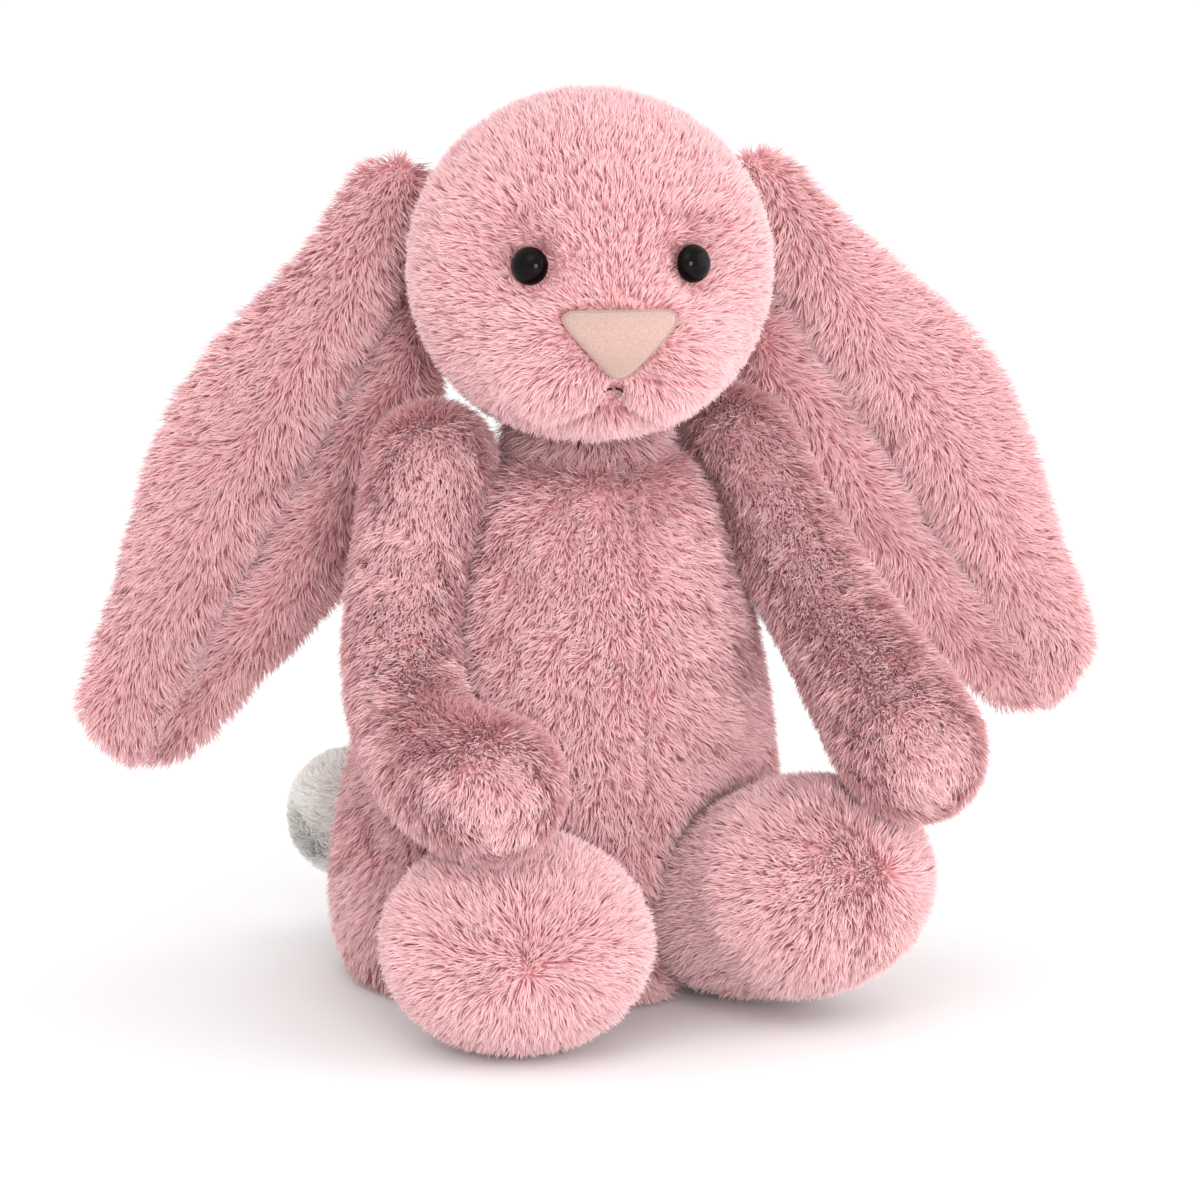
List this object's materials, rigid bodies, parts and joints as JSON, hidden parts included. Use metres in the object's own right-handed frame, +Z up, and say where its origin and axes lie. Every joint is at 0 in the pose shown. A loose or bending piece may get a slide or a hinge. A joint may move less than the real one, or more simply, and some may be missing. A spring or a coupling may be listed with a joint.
{
  "type": "stuffed bunny rabbit",
  "caption": "Seated plush rabbit with long drooping ears, a suede nose patch, stitched mouth, soft limbs, a bean-weighted seat and a white tail.",
  "frame": {"origin": "middle of the flat seat, on the surface it sits on", "axes": "+Z up, the torso faces -Y, the rabbit's own left is +X"},
  "size_m": [0.2483, 0.1806, 0.2167],
  "materials": {
    "pink_plush": "matte",
    "white_plush": "matte",
    "stuffing_fibre": "matte",
    "nose_suede": "matte",
    "pink_thread": "matte",
    "dark_thread": "matte",
    "eye_black": "gloss",
    "washer_plastic": "matte",
    "pouch_cloth": "matte",
    "pellet_plastic": "matte"
  },
  "bodies": {
    "torso": {"torso_front_left": "pink_plush", "torso_front_right": "pink_plush", "torso_back_left": "pink_plush", "torso_back_right": "pink_plush", "torso_base": "pink_plush", "torso_stuffing": "stuffing_fibre", "bean_pouch": "pouch_cloth", "bean_pellets": "pellet_plastic", "back_closing_stitches": "pink_thread", "neck_thread": "pink_thread"},
    "neck": {"neck_stuffing": "stuffing_fibre"},
    "head": {"head_side_left": "pink_plush", "head_side_right": "pink_plush", "head_gusset": "pink_plush", "chin_gusset": "pink_plush", "head_stuffing": "stuffing_fibre", "nose_patch": "nose_suede", "nose_edge_stitching": "pink_thread", "mouth_stitch": "dark_thread", "eye_left": "eye_black", "eye_right": "eye_black", "eye_washer_left": "washer_plastic", "eye_washer_right": "washer_plastic"},
    "ear_left": {"ear_left_front": "pink_plush", "ear_left_back": "pink_plush", "ear_left_padding": "stuffing_fibre"},
    "ear_right": {"ear_right_front": "pink_plush", "ear_right_back": "pink_plush", "ear_right_padding": "stuffing_fibre"},
    "arm_left": {"arm_left_outer": "pink_plush", "arm_left_inner": "pink_plush", "arm_left_stuffing": "stuffing_fibre"},
    "arm_right": {"arm_right_outer": "pink_plush", "arm_right_inner": "pink_plush", "arm_right_stuffing": "stuffing_fibre"},
    "leg_left": {"leg_left_upper": "pink_plush", "leg_left_under": "pink_plush", "leg_left_stuffing": "stuffing_fibre"},
    "leg_right": {"leg_right_upper": "pink_plush", "leg_right_under": "pink_plush", "leg_right_stuffing": "stuffing_fibre"},
    "tail": {"tail_cover": "white_plush", "tail_stuffing": "stuffing_fibre", "tail_thread": "pink_thread"}
  },
  "joints": [
    {"name": "head_turn", "type": "hinge", "parent": "torso", "child": "neck", "pos_m": [0.004, -0.014, 0.134], "axis": [0, 0, 1], "range_deg": [-14, 30]},
    {"name": "head_nod", "type": "hinge", "parent": "neck", "child": "head", "pos_m": [0.004, -0.014, 0.134], "axis": [0.9613, -0.2756, 0], "range_deg": [-9, 14]},
    {"name": "ear_left_lift", "type": "hinge", "parent": "head", "child": "ear_left", "pos_m": [0.05094, -0.01156, 0.19082], "axis": [-0.2756, -0.9613, 0], "range_deg": [0, 60]},
    {"name": "ear_right_lift", "type": "hinge", "parent": "head", "child": "ear_right", "pos_m": [-0.03451, 0.01294, 0.19082], "axis": [0.2756, 0.9613, 0], "range_deg": [0, 60]},
    {"name": "arm_left_raise", "type": "hinge", "parent": "torso", "child": "arm_left", "pos_m": [0.04288, -0.01358, 0.129], "axis": [-1, 0, 0], "range_deg": [0, 50]},
    {"name": "arm_right_raise", "type": "hinge", "parent": "torso", "child": "arm_right", "pos_m": [-0.03512, -0.01358, 0.129], "axis": [-1, 0, 0], "range_deg": [0, 50]},
    {"name": "leg_left_splay", "type": "hinge", "parent": "torso", "child": "leg_left", "pos_m": [0.03007, -0.04437, 0.024], "axis": [0, 0, 1], "range_deg": [-12, 8]},
    {"name": "leg_right_splay", "type": "hinge", "parent": "torso", "child": "leg_right", "pos_m": [-0.02862, -0.04437, 0.024], "axis": [0, 0, -1], "range_deg": [-12, 8]},
    {"name": "tail_wag", "type": "hinge", "parent": "torso", "child": "tail", "pos_m": [-0.0202, 0.04287, 0.03], "axis": [0, 0, 1], "range_deg": [-15, 15]}
  ]
}
